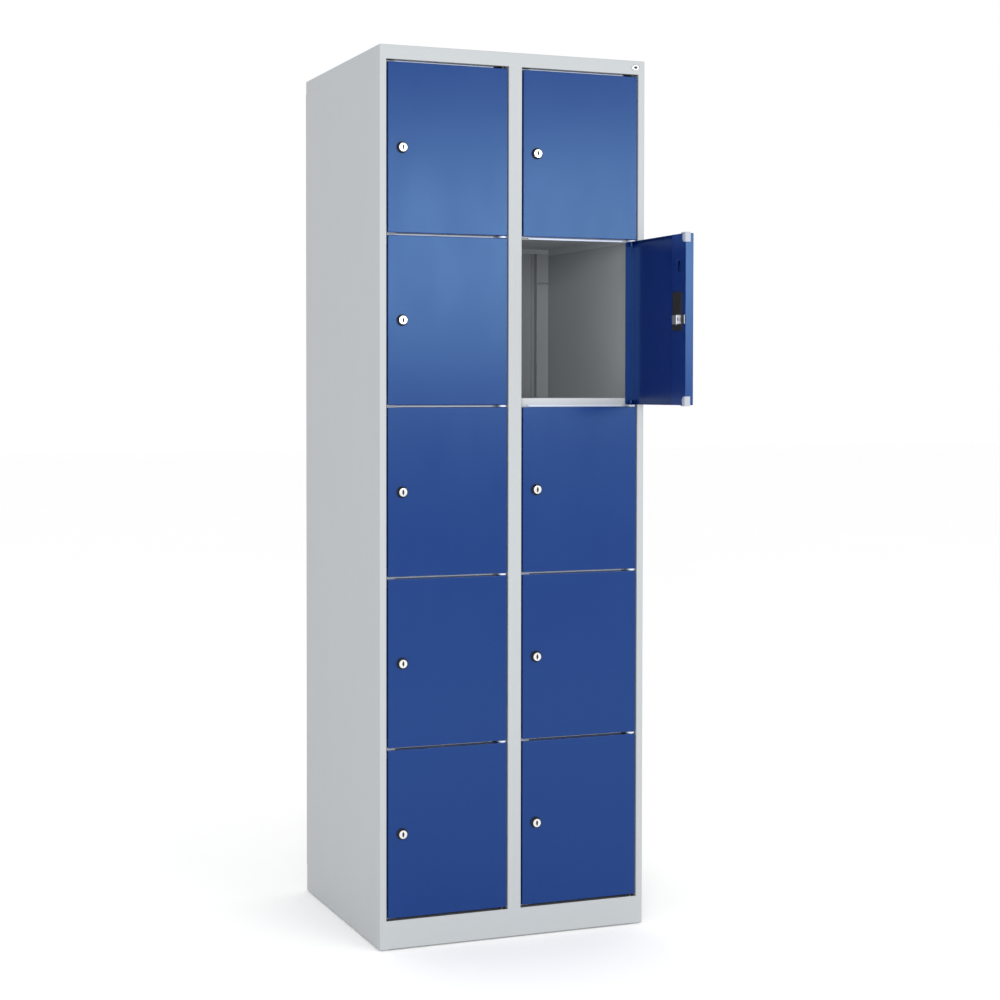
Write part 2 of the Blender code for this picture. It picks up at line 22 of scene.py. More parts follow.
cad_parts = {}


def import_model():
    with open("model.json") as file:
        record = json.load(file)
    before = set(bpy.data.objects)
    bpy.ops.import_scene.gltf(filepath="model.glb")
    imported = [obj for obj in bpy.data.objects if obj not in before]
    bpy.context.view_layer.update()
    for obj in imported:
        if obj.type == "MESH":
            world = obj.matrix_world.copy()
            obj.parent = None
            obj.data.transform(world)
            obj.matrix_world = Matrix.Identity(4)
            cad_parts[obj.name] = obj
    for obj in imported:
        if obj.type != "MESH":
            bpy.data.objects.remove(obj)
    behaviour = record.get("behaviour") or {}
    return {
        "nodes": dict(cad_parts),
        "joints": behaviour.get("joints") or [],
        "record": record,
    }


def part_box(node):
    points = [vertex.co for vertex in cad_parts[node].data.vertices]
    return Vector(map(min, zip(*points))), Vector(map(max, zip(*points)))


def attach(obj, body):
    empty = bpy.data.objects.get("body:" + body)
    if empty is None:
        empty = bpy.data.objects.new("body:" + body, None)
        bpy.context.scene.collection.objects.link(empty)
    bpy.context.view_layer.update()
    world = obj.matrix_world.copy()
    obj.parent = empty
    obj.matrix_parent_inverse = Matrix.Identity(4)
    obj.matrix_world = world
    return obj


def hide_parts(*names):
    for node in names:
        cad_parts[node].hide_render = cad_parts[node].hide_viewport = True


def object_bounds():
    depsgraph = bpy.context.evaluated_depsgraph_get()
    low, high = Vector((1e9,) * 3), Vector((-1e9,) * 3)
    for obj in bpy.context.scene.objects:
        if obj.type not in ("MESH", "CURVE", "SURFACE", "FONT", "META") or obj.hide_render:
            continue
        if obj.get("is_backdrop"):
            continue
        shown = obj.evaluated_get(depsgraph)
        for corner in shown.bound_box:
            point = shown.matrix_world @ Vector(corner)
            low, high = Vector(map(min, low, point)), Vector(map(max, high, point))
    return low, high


MM = 0.001
LEVEL = 0.001 * MM  # less than this between two heights, and an edge is level
SHORT = 1 * MM  # an edge that spans more than this along an axis runs along it
FACING = 0.9  # the least part of a normal along an axis, for a face that looks that way
DOOR_HALF = 173 * MM  # half of a door's height
GAP = 5 * MM  # between a door and the next one, or the rail or plinth
GAP_MIDDLE = DOOR_HALF + GAP / 2
ROWS = range(1, 6)
LOG = logging.getLogger("locker")

Pair = tuple[float, float]
Triple = tuple[float, float, float]


class Axis(Enum):
    """Direction that a turned piece is built along, as the turn that brings +Z there."""

    UP = Matrix.Identity(4)
    OUT_OF_DOOR = Matrix.Rotation(math.pi / 2, 4, "X")


class Bench:
    """The modelling operators, each with the selection that it needs."""

    BEVELLED_FROM = math.radians(40)
    SMOOTH_UNDER = math.radians(38)
    SAME_POINT = 0.002 * MM

    @staticmethod
    def deselect() -> None:
        """Leaves edit mode and clears the selection."""
        if bpy.context.object and bpy.context.object.mode != "OBJECT":
            bpy.ops.object.mode_set(mode="OBJECT")
        bpy.ops.object.select_all(action="DESELECT")

    @classmethod
    def pick(cls, piece: bpy.types.Object) -> None:
        """Makes a piece the only selected one, and the active one."""
        cls.deselect()
        piece.select_set(True)
        bpy.context.view_layer.objects.active = piece

    @classmethod
    def settle(cls, piece: bpy.types.Object) -> None:
        """Moves a piece's place, turn and scale into its mesh."""
        cls.pick(piece)
        bpy.ops.object.transform_apply(location=True, rotation=True, scale=True)

    @classmethod
    def block(cls, name: str, x: Pair, y: Pair, z: Pair) -> bpy.types.Object:
        """Adds a block.

        Args:
            name: The piece's name.
            x: Its limits along X.
            y: Its limits along Y.
            z: Its limits along Z.

        Returns:
            The piece, with its place in its mesh.
        """
        cls.deselect()
        limits = (x, y, z)
        bpy.ops.mesh.primitive_cube_add(
            size=1,
            location=[(low + high) / 2 for low, high in limits],
            scale=[high - low for low, high in limits],
        )
        piece = bpy.context.object
        piece.name = name
        cls.settle(piece)
        return piece

    @classmethod
    def turned(cls, name: str, profile: Sequence[Pair], axis: Axis, sides: int = 48) -> bpy.types.Object:
        """Turns a profile by extruding a ring from point to point.

        Args:
            name: The piece's name.
            profile: Points of (radius, height). It closes on itself, or its two ends are capped.
            axis: Where the height points.
            sides: Faces round the piece.

        Returns:
            The piece.
        """
        cls.deselect()
        radius, height = profile[0]
        bpy.ops.mesh.primitive_circle_add(vertices=sides, radius=radius, location=(0, 0, height))
        piece = bpy.context.object
        piece.name = name
        bpy.ops.object.transform_apply(location=True, rotation=False, scale=False)
        bpy.ops.object.mode_set(mode="EDIT")
        bpy.ops.mesh.select_all(action="SELECT")
        closed = profile[0] == profile[-1]
        if not closed:
            bpy.ops.mesh.edge_face_add()
            bpy.ops.mesh.select_all(action="SELECT")
            bpy.ops.mesh.select_mode(type="EDGE")
        for new_radius, new_height in profile[1:]:
            rise = (0, 0, new_height - height)
            bpy.ops.mesh.extrude_edges_move(TRANSFORM_OT_translate={"value": rise})
            ratio = new_radius / radius
            bpy.ops.transform.resize(value=(ratio, ratio, 1), center_override=(0, 0, new_height))
            radius, height = new_radius, new_height
        if not closed:
            bpy.ops.mesh.edge_face_add()
        bpy.ops.mesh.select_all(action="SELECT")
        bpy.ops.mesh.remove_doubles(threshold=cls.SAME_POINT)
        bpy.ops.mesh.normals_make_consistent(inside=False)
        bpy.ops.object.mode_set(mode="OBJECT")
        piece.data.transform(axis.value)
        return piece

    @classmethod
    def edges(cls, piece: bpy.types.Object, wanted: Callable[[Vector, Vector], bool]) -> None:
        """Enters edit mode with only the wanted edges selected.

        Args:
            piece: The piece to edit.
            wanted: Says of an edge's two ends whether it is wanted.
        """
        cls.pick(piece)
        bpy.ops.object.mode_set(mode="EDIT")
        bpy.ops.mesh.select_mode(type="EDGE")
        bpy.ops.mesh.select_all(action="DESELECT")
        shape = bmesh.from_edit_mesh(piece.data)
        for edge in shape.edges:
            edge.select_set(wanted(edge.verts[0].co, edge.verts[1].co))
        bmesh.update_edit_mesh(piece.data)

    @classmethod
    def faces(cls, piece: bpy.types.Object, wanted: Callable[[Vector, Vector], bool]) -> None:
        """Enters edit mode with only the wanted faces selected.

        Args:
            piece: The piece to edit.
            wanted: Says of a face's middle and normal whether it is wanted.
        """
        cls.pick(piece)
        bpy.ops.object.mode_set(mode="EDIT")
        bpy.ops.mesh.select_mode(type="FACE")
        bpy.ops.mesh.select_all(action="DESELECT")
        shape = bmesh.from_edit_mesh(piece.data)
        for face in shape.faces:
            face.select_set(wanted(face.calc_center_median(), face.normal))
        bmesh.update_edit_mesh(piece.data)

    @classmethod
    def round_edges(
        cls, piece: bpy.types.Object, wanted: Callable[[Vector, Vector], bool], radius: float, steps: int = 4
    ) -> bpy.types.Object:
        """Bevels the wanted edges and returns the piece."""
        cls.edges(piece, wanted)
        bpy.ops.mesh.bevel(offset=radius, offset_type="OFFSET", segments=steps, affect="EDGES")
        bpy.ops.object.mode_set(mode="OBJECT")
        return piece

    @classmethod
    def boolean(
        cls, piece: bpy.types.Object, tools: Iterable[bpy.types.Object], operation: str = "DIFFERENCE"
    ) -> bpy.types.Object:
        """Cuts tools from a piece, or joins them to it, and removes them.

        Args:
            piece: The piece that stays.
            tools: The shapes to use up.
            operation: DIFFERENCE, UNION or INTERSECT.

        Returns:
            The piece.
        """
        for tool in tools:
            cls.pick(piece)
            modifier = piece.modifiers.new(operation.lower(), "BOOLEAN")
            modifier.operation = operation
            modifier.object = tool
            bpy.ops.object.modifier_apply(modifier=modifier.name)
            bpy.data.objects.remove(tool)
        return piece

    @classmethod
    def soften(cls, piece: bpy.types.Object, width: float, steps: int = 2) -> bpy.types.Object:
        """Rounds every sharp edge a little and shades the piece smooth.

        Args:
            piece: The piece to finish.
            width: How far the rounding reaches from each edge.
            steps: Faces across each rounding.

        Returns:
            The piece.
        """
        cls.pick(piece)
        bevel = piece.modifiers.new("soft_edges", "BEVEL")
        bevel.width = width
        bevel.segments = steps
        bevel.limit_method = "ANGLE"
        bevel.angle_limit = cls.BEVELLED_FROM
        bpy.ops.object.modifier_apply(modifier=bevel.name)
        bpy.ops.object.shade_smooth_by_angle(angle=cls.SMOOTH_UNDER)
        weighted = piece.modifiers.new("flat_faces", "WEIGHTED_NORMAL")
        weighted.keep_sharp = True
        bpy.ops.object.modifier_apply(modifier=weighted.name)
        return piece

    @staticmethod
    def copy(piece: bpy.types.Object, name: str, place: Matrix) -> bpy.types.Object:
        """Copies a piece with a mesh of its own, moved by a matrix."""
        twin = piece.copy()
        twin.data = piece.data.copy()
        twin.name = name
        twin.data.transform(place)
        bpy.context.scene.collection.objects.link(twin)
        return twin


class Number:
    """A number socket of a shader that takes part in arithmetic with others and with plain numbers."""

    def __init__(self, tree: Tree, socket: bpy.types.NodeSocket) -> None:
        """Keeps the socket and the tree that it is in."""
        self.tree = tree
        self.socket = socket

    def _with(self, operation: str, first: Number | float, second: Number | float) -> Number:
        """Adds one Math node."""
        return self.tree.node("ShaderNodeMath", {"operation": operation}, {0: first, 1: second}).number(0)

    def __add__(self, other: Number | float) -> Number:
        """Sum."""
        return self._with("ADD", self, other)

    def __sub__(self, other: Number | float) -> Number:
        """Difference."""
        return self._with("SUBTRACT", self, other)

    def __rsub__(self, other: float) -> Number:
        """Difference from a plain number."""
        return self._with("SUBTRACT", other, self)

    def __mul__(self, other: Number | float) -> Number:
        """Product."""
        return self._with("MULTIPLY", self, other)

    __radd__ = __add__
    __rmul__ = __mul__


@dataclass
class Added:
    """A node that was added to a tree."""

    tree: Tree
    node: bpy.types.Node

    def number(self, output: int | str) -> Number:
        """One of its outputs as a number."""
        return Number(self.tree, self.node.outputs[output])

    def out(self, output: int | str = 0) -> bpy.types.NodeSocket:
        """One of its outputs as it is."""
        return self.node.outputs[output]


class Tree:
    """The node tree of one material."""

    def __init__(self, name: str) -> None:
        """Starts a material with a Principled shader."""
        self.material = bpy.data.materials.new(name)
        self.material.use_nodes = True
        self.nodes = self.material.node_tree.nodes
        self.links = self.material.node_tree.links
        self.shader = self.nodes["Principled BSDF"]

    def plug(self, target: bpy.types.NodeSocket, value: object) -> None:
        """Links a socket to an input, or sets a constant on it."""
        if isinstance(value, Number):
            value = value.socket
        if isinstance(value, bpy.types.NodeSocket):
            self.links.new(value, target)
        else:
            target.default_value = value

    def node(self, kind: str, settings: dict[str, object], inputs: dict[int | str, object]) -> Added:
        """Adds a node.

        Args:
            kind: The node's type.
            settings: Its own settings; "stops" are a ramp's places and colours.
            inputs: Values or links of its input sockets.

        Returns:
            The node.
        """
        made = self.nodes.new(kind)
        for key, value in settings.items():
            if key == "stops":
                for element, (place, color) in zip(made.color_ramp.elements, value):
                    element.position = place
                    element.color = color
            else:
                setattr(made, key, value)
        for key, value in inputs.items():
            self.plug(made.inputs[key], value)
        return Added(self, made)

    def place(self) -> bpy.types.NodeSocket:
        """Object coordinates."""
        return self.node("ShaderNodeTexCoord", {}, {}).out("Object")

    def noise(self, scale: float, detail: float = 2.0, stretch: Triple = (1, 1, 1)) -> Number:
        """Noise in Object coordinates.

        Args:
            scale: Bumps to the metre, roughly.
            detail: Finer layers.
            stretch: Scale along each axis.

        Returns:
            The noise, from 0 to 1.
        """
        where = self.node("ShaderNodeMapping", {}, {"Vector": self.place(), "Scale": stretch})
        return self.node(
            "ShaderNodeTexNoise", {}, {"Vector": where.out(), "Scale": scale, "Detail": detail}
        ).number(0)

    def mix(self, factor: Number, low: Triple, high: Triple) -> bpy.types.NodeSocket:
        """Mixes two colours."""
        return self.node(
            "ShaderNodeMix", {"data_type": "RGBA"}, {0: factor, 6: (*low, 1), 7: (*high, 1)}
        ).out(2)

    def bump(self, height: Number, strength: float, distance: float) -> bpy.types.NodeSocket:
        """A bumped normal."""
        return self.node(
            "ShaderNodeBump", {}, {"Strength": strength, "Distance": distance, "Height": height}
        ).out()

    def dress(self, **inputs: object) -> bpy.types.Material:
        """Sets the shader's inputs, named with underscores, and returns the material."""
        for key, value in inputs.items():
            self.plug(self.shader.inputs[key.replace("_", " ").title().replace("Ior", "IOR")], value)
        return self.material


@dataclass(frozen=True)
class PowderCoat:
    """Baked powder paint on sheet steel: fine orange peel, with a little change in tone and gloss."""

    name: str
    light: Triple
    dark: Triple
    roughness: float
    gloss: float
    tint: Triple = (1.0, 1.0, 1.0)
    peel: float = 0.10
    peel_depth: float = 0.05 * MM
    rub: float = 0.12
    rub_run: Triple = (1, 1, 0.4)

    def material(self) -> bpy.types.Material:
        """Builds the material."""
        tree = Tree(self.name)
        tone = tree.noise(2.2, 3)
        peel = tree.noise(900, 2)
        rub = tree.noise(14, 4, self.rub_run)
        return tree.dress(
            base_color=tree.mix(tone, self.dark, self.light),
            roughness=(rub - 0.5) * self.rub + self.roughness,
            specular_ior_level=self.gloss,
            specular_tint=(*self.tint, 1),
            normal=tree.bump(peel, self.peel, self.peel_depth),
        )


@dataclass(frozen=True)
class Moulded:
    """Moulded plastic with a fine spark-eroded grain."""

    name: str
    color: Triple
    roughness: float = 0.45
    grain: float = 0.25
    grain_depth: float = 0.05 * MM
    sheen_change: float = 0.2
    low_tone: float = 0.93

    def material(self) -> bpy.types.Material:
        """Builds the material."""
        tree = Tree(self.name)
        grain = tree.noise(2600, 2)
        tone = tree.noise(60, 2)
        low = tuple(self.low_tone * part for part in self.color)
        return tree.dress(
            base_color=tree.mix(tone, low, self.color),
            roughness=(grain - 0.5) * self.sheen_change + self.roughness,
            normal=tree.bump(grain, self.grain, self.grain_depth),
        )


@dataclass(frozen=True)
class Plated:
    """Bright plated metal with faint drawing marks along one axis."""

    name: str
    color: Triple
    roughness: float = 0.2
    stretch: Triple = (1, 1, 12)
    marks: float = 0.08
    mark_depth: float = 0.03 * MM
    sheen_change: float = 0.16
    low_tone: float = 0.9

    def material(self) -> bpy.types.Material:
        """Builds the material."""
        tree = Tree(self.name)
        lines = tree.noise(420, 3, self.stretch)
        tone = tree.noise(90, 2)
        low = tuple(self.low_tone * part for part in self.color)
        return tree.dress(
            base_color=tree.mix(tone, low, self.color),
            metallic=1.0,
            roughness=(lines - 0.5) * self.sheen_change + self.roughness,
            normal=tree.bump(lines, self.marks, self.mark_depth),
        )


@dataclass(frozen=True)
class Finishes:
    """Every finish of the locker."""

    # Lit copy of the carcass grey for the shelves: painted light, lighter so that the shelf fronts in the
    # shaded recess behind the doors look as bright as the posts.
    pale: PowderCoat = PowderCoat(
        "pale_powder_coat", (0.52, 0.545, 0.565), (0.508, 0.532, 0.552), 0.4, 0.15
    )
    grey: PowderCoat = PowderCoat("grey_powder_coat", (0.396, 0.416, 0.43), (0.387, 0.407, 0.42), 0.4, 0.15)
    blue: PowderCoat = PowderCoat(
        "blue_powder_coat", (0.0022, 0.0175, 0.130), (0.0020, 0.0160, 0.124), 0.24, 0.60, (0.36, 0.69, 1.0)
    )
    black: Moulded = Moulded("black_lock_plastic", (0.012, 0.012, 0.013), 0.42)
    cap: Moulded = Moulded("pale_cap_plastic", (0.35, 0.375, 0.43), 0.42)
    nylon: Moulded = Moulded("pale_nylon", (0.56, 0.62, 0.74), 0.38)
    # Door buffer rubber, partly a real strip and partly a painted highlight: its pale lavender stands in for
    # the lit lip seen in the door gaps.
    buffer: Moulded = Moulded("buffer_rubber_painted_highlight", (0.70, 0.77, 0.92), 0.5)
    glide: Moulded = Moulded("grey_glide_plastic", (0.42, 0.44, 0.45), 0.5)
    nickel: Plated = Plated("nickel", (0.78, 0.77, 0.75), 0.2)
    zinc: Plated = Plated("zinc_plate", (0.52, 0.53, 0.55), 0.46, (1, 12, 1))
    plate: Plated = Plated("badge_aluminium", (0.62, 0.64, 0.66), 0.34, (12, 1, 1))


class Slot(Enum):
    """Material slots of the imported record."""

    CARCASS = "carcass_paint"
    DOOR = "door_paint"
    LOCK = "lock_plastic"
    METAL = "lock_metal"
    FOOT = "foot_plastic"
    BADGE = "badge_metal"


@dataclass
class Shop:
    """Dresses finished pieces and hands them to the frame."""

    bodies: dict[str, list[str]]
    made: dict[str, bpy.types.Material] = field(default_factory=dict)

    def body_of(self, node: str) -> str:
        """Name of the body that a node belongs to."""
        return next(body for body, nodes in self.bodies.items() if node in nodes)

    def finish(
        self,
        piece: bpy.types.Object,
        look: PowderCoat | Moulded | Plated,
        body: str,
        slot: Slot | None = None,
        node: str | None = None,
    ) -> bpy.types.Object:
        """Gives a piece its material and its body.

        Args:
            piece: The finished piece.
            look: Its finish.
            body: The body that it moves with.
            slot: The record's material slot; not used.
            node: The frame's node that it stands for.

        Returns:
            The piece.
        """
        if look.name not in self.made:
            self.made[look.name] = look.material()
        piece.data.materials.clear()
        piece.data.materials.append(self.made[look.name])
        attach(piece, body)
        if node:
            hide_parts(node)
        LOG.info("%s rides on %s", piece.name, body)
        return piece


@dataclass
class SheetMetal:
    """The folded parts: copies of the frame's own, with their edges softened by the paint."""

    shop: Shop
    nodes: dict[str, bpy.types.Object]
    edge: float = 0.22 * MM
    same_point: float = 0.005 * MM
    flat: float = math.radians(1)

    def coat(self, node: str, look: PowderCoat, slot: Slot) -> bpy.types.Object:
        """Makes the painted part that stands for a node.

        Args:
            node: The frame's node.
            look: Its paint.
            slot: The record's material slot.

        Returns:
            The painted part.
        """
        part = Bench.copy(self.nodes[node], f"{node}_sheet", Matrix.Identity(4))
        part.parent = None
        for key in list(part.keys()):
            del part[key]
        Bench.pick(part)
        bpy.ops.object.mode_set(mode="EDIT")
        bpy.ops.mesh.select_all(action="SELECT")
        bpy.ops.mesh.remove_doubles(threshold=self.same_point)
        bpy.ops.mesh.dissolve_limited(angle_limit=self.flat)
        bpy.ops.object.mode_set(mode="OBJECT")
        Bench.soften(part, self.edge)
        return self.shop.finish(part, look, self.shop.body_of(node), slot, node)


@dataclass(frozen=True)
class DoorPlace:
    """Where one door hangs."""

    side: str
    row: int
    hinge: Vector
    turn: float

    @property
    def tag(self) -> str:
        """The ending of its pieces' names."""
        return f"{self.side}_{self.row}"

    @property
    def matrix(self) -> Matrix:
        """From door coordinates to the frame's."""
        return Matrix.Translation(self.hinge) @ Matrix.Rotation(self.turn, 4, "Z")


@dataclass
class DoorFittings:
    """Small pieces of a door, modelled once in door coordinates and copied to every door."""

    shop: Shop
    finishes: Finishes
    free_x: float = -256 * MM
    inner_y: float = 10.5 * MM
    notch: Triple = (13 * MM, 11 * MM, 19 * MM)
    cap_proud: float = 2.2 * MM
    cap_reach: float = 18 * MM
    cap_height: float = 17.6 * MM
    cap_lip: float = 0.8 * MM
    cap_corner: float = 4.2 * MM
    skin: float = 0.05 * MM
    tube_r: float = 3.15 * MM
    pin_r: float = 2.6 * MM

    def mirrored(self, piece: bpy.types.Object, end: int) -> bpy.types.Object:
        """Turns a top piece into a bottom one when the end is -1."""
        if end < 0:
            piece.data.transform(Matrix.Scale(-1, 4, (0, 0, 1)))
            piece.data.flip_normals()
        return piece

    def cap_body(self, grow: float) -> bpy.types.Object:
        """Plug of a corner cap, with a fully rounded inner end.

        Args:
            grow: How much larger it is on its hidden sides.

        Returns:
            The plug, in door coordinates and at the top of the door.
        """
        edge, inner_x = self.free_x + self.skin, self.free_x + self.notch[0]
        low, top = DOOR_HALF - self.cap_height - grow, DOOR_HALF + self.cap_proud
        depth = (self.inner_y - self.notch[1] + self.skin - grow, self.inner_y + self.cap_lip + grow)
        body = Bench.block("cap", (edge - grow, inner_x - self.skin + grow), depth, (low, top))
        middle, half_round = (edge + inner_x) / 2, 0.48 * self.cap_height
        Bench.round_edges(
            body, lambda a, b: min(a.x, b.x) > middle and abs(a.z - b.z) < LEVEL, half_round, 10
        )
        return body

    def corner_cap(self, end: int) -> bpy.types.Object:
        """Plastic cap in a lock-side corner of a door: a soft round-ended plug in the notch, under a flange
        that stands proud of the door's end.

        Args:
            end: 1 for the top corner and -1 for the bottom one.

        Returns:
            The cap, in door coordinates.
        """
        body = self.cap_body(0)
        edge, top = self.free_x + self.skin, DOOR_HALF + self.cap_proud
        back = self.inner_y + self.cap_lip
        middle_y, middle_x = self.inner_y - self.notch[1] / 2, self.free_x + self.notch[0] / 2

        def outer_corner(a: Vector, b: Vector) -> bool:
            """Whether an edge is the upright one at the door's free inner corner."""
            return min(a.y, b.y) > middle_y and max(a.x, b.x) < middle_x and abs(a.z - b.z) > SHORT

        Bench.round_edges(body, outer_corner, self.cap_corner, 8)
        flange = Bench.block(
            "flange",
            (edge + 0.1 * MM, self.free_x + self.cap_reach),
            (self.inner_y - self.notch[1] + 2 * self.skin, back - 0.1 * MM),
            (DOOR_HALF + self.skin, top - self.skin),
        )
        Bench.round_edges(flange, outer_corner, self.cap_corner, 8)
        Bench.boolean(body, [flange], "UNION")
        return self.mirrored(Bench.soften(body, 0.7 * MM, 4), end)

    def corner_tab(self, end: int) -> bpy.types.Object:
        """What fills the square notch round the cap: a folded tab of the door's own steel.

        Args:
            end: 1 for the top corner and -1 for the bottom one.

        Returns:
            The tab, in door coordinates.
        """
        slack, sheet = 0.1 * MM, 0.9 * MM
        foot, inner = DOOR_HALF - self.notch[2] - slack, self.inner_y - slack
        tab = Bench.block(
            "tab",
            (self.free_x + slack, self.free_x + self.notch[0] + slack),
            (inner - sheet, inner),
            (foot, DOOR_HALF - slack),
        )
        Bench.boolean(tab, [self.cap_body(self.skin)])
        edge_strip = Bench.block(
            "strip",
            (self.free_x + 0.02 * MM, self.free_x + sheet),
            (inner - self.notch[1], inner),
            (foot, DOOR_HALF - self.cap_height - self.skin),
        )
        Bench.boolean(tab, [edge_strip], "UNION")
        return self.mirrored(Bench.soften(tab, 0.1 * MM), end)

    def hinge_tube(self, end: int) -> bpy.types.Object:
        """Closed steel tube inside the door that a hinge pin turns in."""
        wall, deep, mouth = 0.5 * MM, DOOR_HALF - 9.2 * MM, DOOR_HALF - 0.7 * MM
        profile = [
            (wall, deep),
            (self.tube_r, deep),
            (self.tube_r, mouth),
            (self.pin_r, mouth),
            (self.pin_r, deep + wall),
            (wall, deep + wall),
        ]
        return self.mirrored(Bench.soften(Bench.turned("tube", profile, Axis.UP, 32), 0.1 * MM), end)

    def collar(self, end: int) -> bpy.types.Object:
        """Plastic spacer round a hinge pin in the gap above or below the door."""
        foot, rim, inset = DOOR_HALF + 0.1 * MM, DOOR_HALF + GAP - 0.3 * MM, 0.5 * MM
        outer = self.tube_r + 2 * inset
        profile = [
            (self.pin_r, foot),
            (outer, foot),
            (outer, rim - inset),
            (outer - inset, rim),
            (self.pin_r, rim),
            (self.pin_r, foot),
        ]
        return self.mirrored(Bench.soften(Bench.turned("collar", profile, Axis.UP, 32), 0.1 * MM), end)

    def build(self, doors: Sequence[DoorPlace]) -> None:
        """Copies the small pieces to every door."""
        looks = self.finishes
        patterns = [
            (self.corner_cap(1), "corner_cap_top", looks.cap, ROWS),
            (self.corner_cap(-1), "corner_cap_bottom", looks.cap, ROWS),
            (self.corner_tab(1), "corner_tab_top", looks.blue, ROWS),
            (self.corner_tab(-1), "corner_tab_bottom", looks.blue, ROWS),
            (self.hinge_tube(1), "hinge_tube_top", looks.blue, ROWS),
            (self.hinge_tube(-1), "hinge_tube_bottom", looks.blue, ROWS),
            (self.collar(1), "hinge_collar_top", looks.black, ROWS[:1]),
            (self.collar(-1), "hinge_collar_bottom", looks.black, ROWS[-1:]),
        ]
        for pattern, name, look, taken in patterns:
            for door in doors:
                if door.row in taken:
                    piece = Bench.copy(pattern, f"{name}_{door.tag}", door.matrix)
                    self.shop.finish(piece, look, f"door_{door.tag}")
            bpy.data.objects.remove(pattern)


@dataclass
class Lock:
    """Cylinder lock with a sliding bolt, modelled once in lock coordinates and copied to every door."""

    shop: Shop
    finishes: Finishes
    lock_x: float = -225.5 * MM
    front_y: float = -7.5 * MM
    face: float = 7.6 * MM
    case_x: Pair = (-16.3 * MM, 20.5 * MM)
    case_z: Pair = (-22 * MM, 56 * MM)
    plate_y: Pair = (10.6 * MM, 11.4 * MM)
    case_top: float = 13.8 * MM
    bolt_y: Pair = (11.6 * MM, 14.2 * MM)
    tongue_y: Pair = (11.6 * MM, 13 * MM)
    bolt_x: Pair = (-16.3 * MM, 19.3 * MM)
    nose_x: float = -30 * MM
    bolt_half: float = 9 * MM
    hood_x: Pair = (-9.5 * MM, 5.5 * MM)
    hood_wall: float = 1.4 * MM
    hood_top: float = 20.4 * MM
    cam_y: Pair = (14.5 * MM, 15.6 * MM)
    throw: float = 8 * MM
    keyway: Pair = (4.8 * MM, 12 * MM)
    lip: float = 0.05 * MM

    def rosette(self) -> bpy.types.Object:
        """Black collar in front of the door, and the barrel behind it."""
        tip, seat, back = 7.2 * MM, 3.6 * MM, self.front_y - self.plate_y[1]
        profile = [
            (8.95 * MM, tip),
            (9.35 * MM, tip),
            (11.2 * MM, 2.4 * MM),
            (11.8 * MM, 1.6 * MM),
            (11.8 * MM, self.lip),
            (9.2 * MM, self.lip),
            (9.2 * MM, back),
            (7.2 * MM, back),
            (7.2 * MM, seat),
            (8.95 * MM, seat),
            (8.95 * MM, tip),
        ]
        piece = Bench.turned("rosette", profile, Axis.OUT_OF_DOOR, 64)
        piece.data.transform(Matrix.Translation((0, self.front_y, 0)))
        return Bench.soften(piece, 0.2 * MM)

    def case(self) -> bpy.types.Object:
        """Black case on the inner face: a thin plate behind the bolt, a long raised cover above it with a
        bevelled field, and a short one below."""
        plate = Bench.block("case", self.case_x, self.plate_y, self.case_z)
        bore = Bench.turned("bore", [(7.5 * MM, -25 * MM), (7.5 * MM, 5 * MM)], Axis.OUT_OF_DOOR)
        Bench.boolean(plate, [bore])
        inset, field, rise = 0.25 * MM, 2 * MM, 0.6 * MM
        rail = self.bolt_half + 0.3 * MM
        x = (self.case_x[0] + inset, self.case_x[1] - inset)
        y = (self.plate_y[1] - inset, self.case_top - rise)
        covers = []
        for z in ((rail, self.case_z[1] - inset), (self.case_z[0] + inset, -rail)):
            cover = Bench.block("cover", x, y, z)
            Bench.faces(cover, lambda middle, normal: normal.y > FACING)
            bpy.ops.mesh.inset(thickness=field)
            bpy.ops.transform.translate(value=(0, rise, 0))
            bpy.ops.object.mode_set(mode="OBJECT")
            covers.append(cover)
        Bench.boolean(plate, covers, "UNION")
        return Bench.soften(plate, 0.3 * MM)

    def lens(self, low: float, high: float, slack: float) -> bpy.types.Object:
        """Pointed oval of the keyway, between two heights over the door, narrower by the slack."""
        width, height = self.keyway[0] - slack, self.keyway[1] - slack
        radius = (height**2 + width**2) / (4 * width)
        discs = []
        for end in (1, -1):
            disc = Bench.turned("lens", [(radius, low), (radius, high)], Axis.OUT_OF_DOOR, 128)
            disc.data.transform(Matrix.Translation((end * (radius - width / 2), self.front_y, 0)))
            discs.append(disc)
        return Bench.boolean(discs[0], [discs[1]], "INTERSECT")

    def plug(self) -> bpy.types.Object:
        """Key cylinder, with a recess for the keyway."""
        face, seat, head_r = self.face, 3.9 * MM, 8.75 * MM
        shaft_r, tail_r = 7 * MM, 3 * MM
        shaft_end = self.front_y - self.plate_y[1] + 0.3 * MM
        tail_end = self.front_y - self.cam_y[0] - 0.5 * MM
        profile = [
            (6.6 * MM, face),
            (8.5 * MM, face - 0.15 * MM),
            (head_r, face - 0.7 * MM),
            (head_r, seat),
            (shaft_r, seat),
            (shaft_r, shaft_end),
            (tail_r, shaft_end),
            (tail_r, tail_end),
        ]
        body = Bench.turned("plug", profile, Axis.OUT_OF_DOOR, 64)
        body.data.transform(Matrix.Translation((0, self.front_y, 0)))
        Bench.boolean(body, [self.lens(face - 3 * MM, face + 1 * MM, 0)])
        return Bench.soften(body, 0.1 * MM)

    def keyway_shade(self) -> bpy.types.Object:
        """Black guide at the bottom of the keyway, with the slit for the key. Its black is painted shade: it
        stands for the shadow deep in the keyway.
        """
        guide = self.lens(self.face - 3 * MM, self.face - 0.9 * MM, 0.1 * MM)
        slit_y = (self.front_y - self.face, self.front_y - self.face + 2.2 * MM)
        slit = Bench.block("slit", (-0.7 * MM, 0.7 * MM), slit_y, (-4.2 * MM, 4.2 * MM))
        return Bench.soften(Bench.boolean(guide, [slit]), 0.05 * MM)

